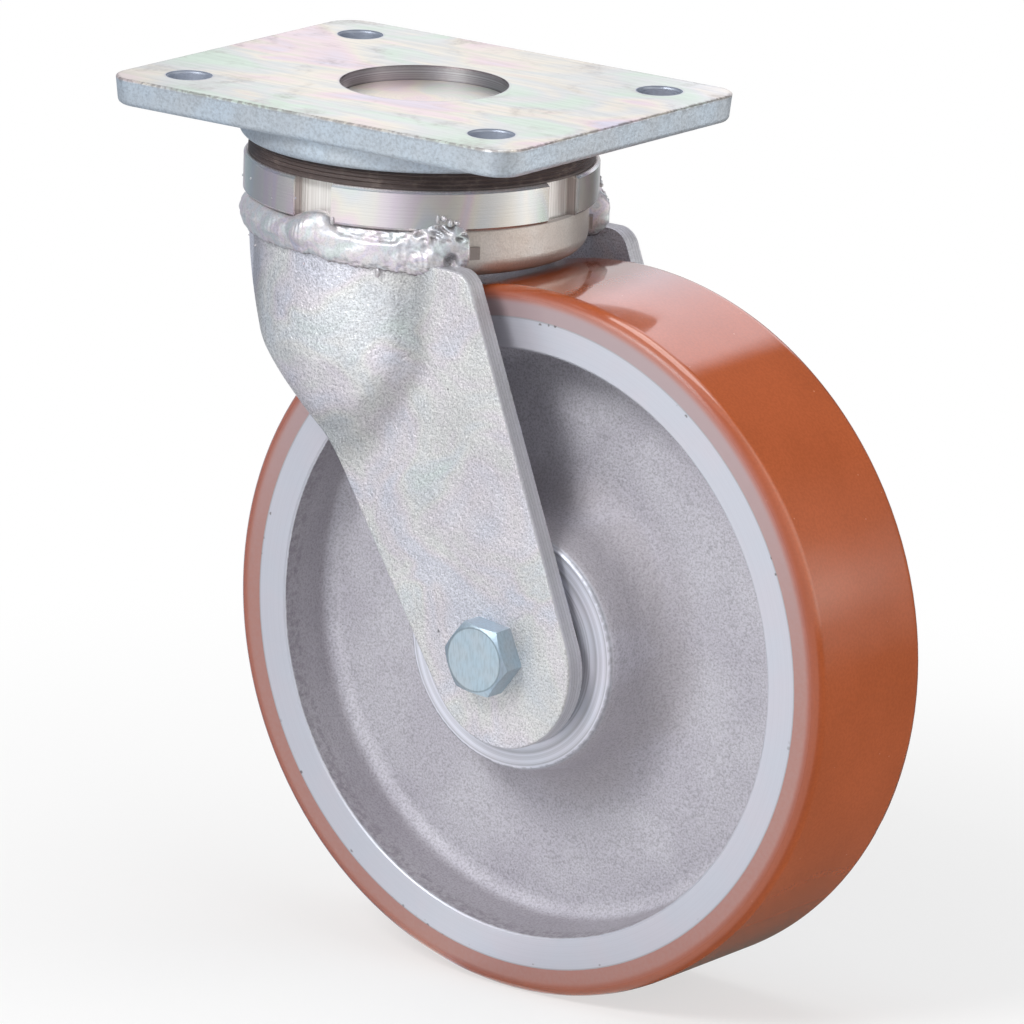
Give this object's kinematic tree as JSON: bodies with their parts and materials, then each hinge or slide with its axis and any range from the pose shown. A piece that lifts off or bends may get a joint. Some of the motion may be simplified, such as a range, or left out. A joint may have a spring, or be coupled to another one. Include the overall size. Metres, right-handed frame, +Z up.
{
  "type": "swivel castor",
  "caption": "Swivel castor: a bolt-on plate on a ball-race swivel head, a welded steel fork and a polyurethane-tyred wheel on ball bearings.",
  "frame": {"origin": "centre of the plate's top mounting face, on the swivel axis", "axes": "+Z up out of the mounting face; +X towards the trailing wheel axle; -Y is the side of the axle bolt's head"},
  "size_m": [0.2279, 0.1114, 0.245],
  "materials": {
    "plate_zinc": "forged, zinc plated with a pale iridescent passivation",
    "housing_zinc": "machined, bright zinc plated",
    "leg_zinc": "blasted and zinc plated, fine matt grain",
    "weld_metal": "rippled weld bead under zinc plating",
    "turned_steel": "turned, zinc plated",
    "fastener_zinc": "bluish bright zinc",
    "bearing_steel": "ground and polished bearing steel",
    "wheel_iron": "rough casting, light grey; rim and hub faces turned",
    "tyre_polyurethane": "glossy brown-orange cast polyurethane",
    "seal_rubber": "dark nitrile rubber",
    "ring_plastic": "natural polyamide"
  },
  "bodies": {
    "mounting_plate": {"top_plate": "plate_zinc", "king_pin": "turned_steel", "king_pin_washer": "fastener_zinc", "king_pin_nut": "fastener_zinc", "split_pin": "fastener_zinc", "thrust_washer_upper": "bearing_steel", "taper_inner_ring": "bearing_steel"},
    "thrust_cage_set": {"thrust_cage": "bearing_steel", "thrust_balls": "bearing_steel"},
    "taper_cage_set": {"taper_cage": "bearing_steel", "taper_rollers": "bearing_steel"},
    "fork": {"swivel_housing": "housing_zinc", "fork_leg_left": "leg_zinc", "fork_leg_right": "leg_zinc", "weld_left": "weld_metal", "weld_right": "weld_metal", "dust_seal": "seal_rubber", "thrust_washer_lower": "bearing_steel", "taper_outer_ring": "bearing_steel", "axle_bolt": "fastener_zinc", "axle_washer": "fastener_zinc", "axle_nut": "fastener_zinc", "nut_locking_ring": "ring_plastic", "axle_tube": "turned_steel", "inner_spacer": "turned_steel", "side_spacer_left": "turned_steel", "side_spacer_right": "turned_steel", "bearing_inner_ring_left": "bearing_steel", "bearing_inner_ring_right": "bearing_steel"},
    "wheel": {"wheel_centre": "wheel_iron", "tyre": "tyre_polyurethane", "bearing_outer_ring_left": "bearing_steel", "bearing_outer_ring_right": "bearing_steel", "bearing_seals_left": "seal_rubber", "bearing_seals_right": "seal_rubber"},
    "ball_cage_left": {"bearing_cage_left": "bearing_steel", "bearing_balls_left": "bearing_steel"},
    "ball_cage_right": {"bearing_cage_right": "bearing_steel", "bearing_balls_right": "bearing_steel"}
  },
  "joints": [
    {"name": "swivel", "type": "hinge", "parent": "mounting_plate", "child": "fork", "pos_m": [0, 0, 0], "axis": [0, 0, 1], "continuous": true},
    {"name": "thrust_cage_turn", "type": "hinge", "parent": "mounting_plate", "child": "thrust_cage_set", "pos_m": [0, 0, 0], "axis": [0, 0, 1], "continuous": true},
    {"name": "taper_cage_turn", "type": "hinge", "parent": "mounting_plate", "child": "taper_cage_set", "pos_m": [0, 0, 0], "axis": [0, 0, 1], "continuous": true},
    {"name": "wheel_spin", "type": "hinge", "parent": "fork", "child": "wheel", "pos_m": [0.058, 0, -0.145], "axis": [0, 1, 0], "continuous": true},
    {"name": "ball_cage_left_turn", "type": "hinge", "parent": "fork", "child": "ball_cage_left", "pos_m": [0.058, 0, -0.145], "axis": [0, 1, 0], "continuous": true},
    {"name": "ball_cage_right_turn", "type": "hinge", "parent": "fork", "child": "ball_cage_right", "pos_m": [0.058, 0, -0.145], "axis": [0, 1, 0], "continuous": true}
  ],
  "couplings": [
    {"joint": "thrust_cage_turn", "follows": "swivel", "ratio": 0.5},
    {"joint": "taper_cage_turn", "follows": "swivel", "ratio": 0.58},
    {"joint": "ball_cage_left_turn", "follows": "wheel_spin", "ratio": 0.618},
    {"joint": "ball_cage_right_turn", "follows": "wheel_spin", "ratio": 0.618}
  ]
}
